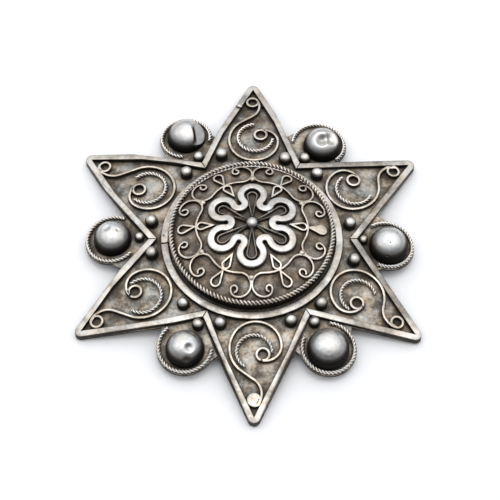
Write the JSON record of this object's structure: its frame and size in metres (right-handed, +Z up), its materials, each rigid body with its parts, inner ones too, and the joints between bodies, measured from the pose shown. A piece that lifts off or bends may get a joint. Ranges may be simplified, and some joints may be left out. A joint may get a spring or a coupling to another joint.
{
  "type": "star brooch",
  "caption": "Star brooch of aged silver with flat rims, wire scrolls, round domed lobes, a raised round medallion and a hidden pin.",
  "frame": {"origin": "on the surface that the brooch lies on, under the middle of the star", "axes": "+Y towards the tip of the top point, +X to the right seen from the front, +Z up out of the front"},
  "size_m": [0.0519, 0.0602, 0.0093],
  "materials": {
    "patina_field": "aged silver with a brown-grey patina, matt in the recesses",
    "worn_flat_wire": "silver worn bright on top, satin with fine scratches",
    "worn_strap": "silver worn nearly white on top, satin",
    "fine_wire": "silver, worn on top and darkened at the sides, satin",
    "twisted_wire": "silver, bright lumps with dark gaps, satin",
    "dark_domes": "oxidised silver, steel grey, polished",
    "grains": "silver, polished on top with a dark foot",
    "pin": "silver, satin"
  },
  "bodies": {
    "root": {"back_plate": "patina_field", "centre_ring": "worn_flat_wire", "medallion": "patina_field", "medallion_rope": "twisted_wire", "medallion_scrolls": "fine_wire", "rosette": "worn_strap", "pin": "pin", "rim_1": "worn_flat_wire", "rim_2": "worn_flat_wire", "rim_3": "worn_flat_wire", "rim_4": "worn_flat_wire", "rim_5": "worn_flat_wire", "rim_6": "worn_flat_wire", "point_scroll_1": "fine_wire", "point_scroll_2": "fine_wire", "point_scroll_3": "fine_wire", "point_scroll_4": "fine_wire", "point_scroll_5": "fine_wire", "point_scroll_6": "fine_wire", "point_twist_1": "twisted_wire", "point_twist_2": "twisted_wire", "point_twist_3": "twisted_wire", "point_twist_4": "twisted_wire", "point_twist_5": "twisted_wire", "point_twist_6": "twisted_wire", "lobe_dome_1": "dark_domes", "lobe_dome_2": "dark_domes", "lobe_dome_3": "dark_domes", "lobe_dome_4": "dark_domes", "lobe_dome_5": "dark_domes", "lobe_dome_6": "dark_domes", "lobe_rope_1": "twisted_wire", "lobe_rope_2": "twisted_wire", "lobe_rope_3": "twisted_wire", "lobe_rope_4": "twisted_wire", "lobe_rope_5": "twisted_wire", "lobe_rope_6": "twisted_wire", "grain_1": "grains", "grain_2": "grains", "grain_3": "grains", "grain_4": "grains", "grain_5": "grains", "grain_6": "grains", "grain_7": "grains", "grain_8": "grains", "grain_9": "grains", "grain_10": "grains", "grain_11": "grains", "grain_12": "grains", "bead_1": "grains", "bead_2": "grains", "bead_3": "grains", "bead_4": "grains", "bead_5": "grains", "bead_6": "grains"}
  },
  "joints": []
}
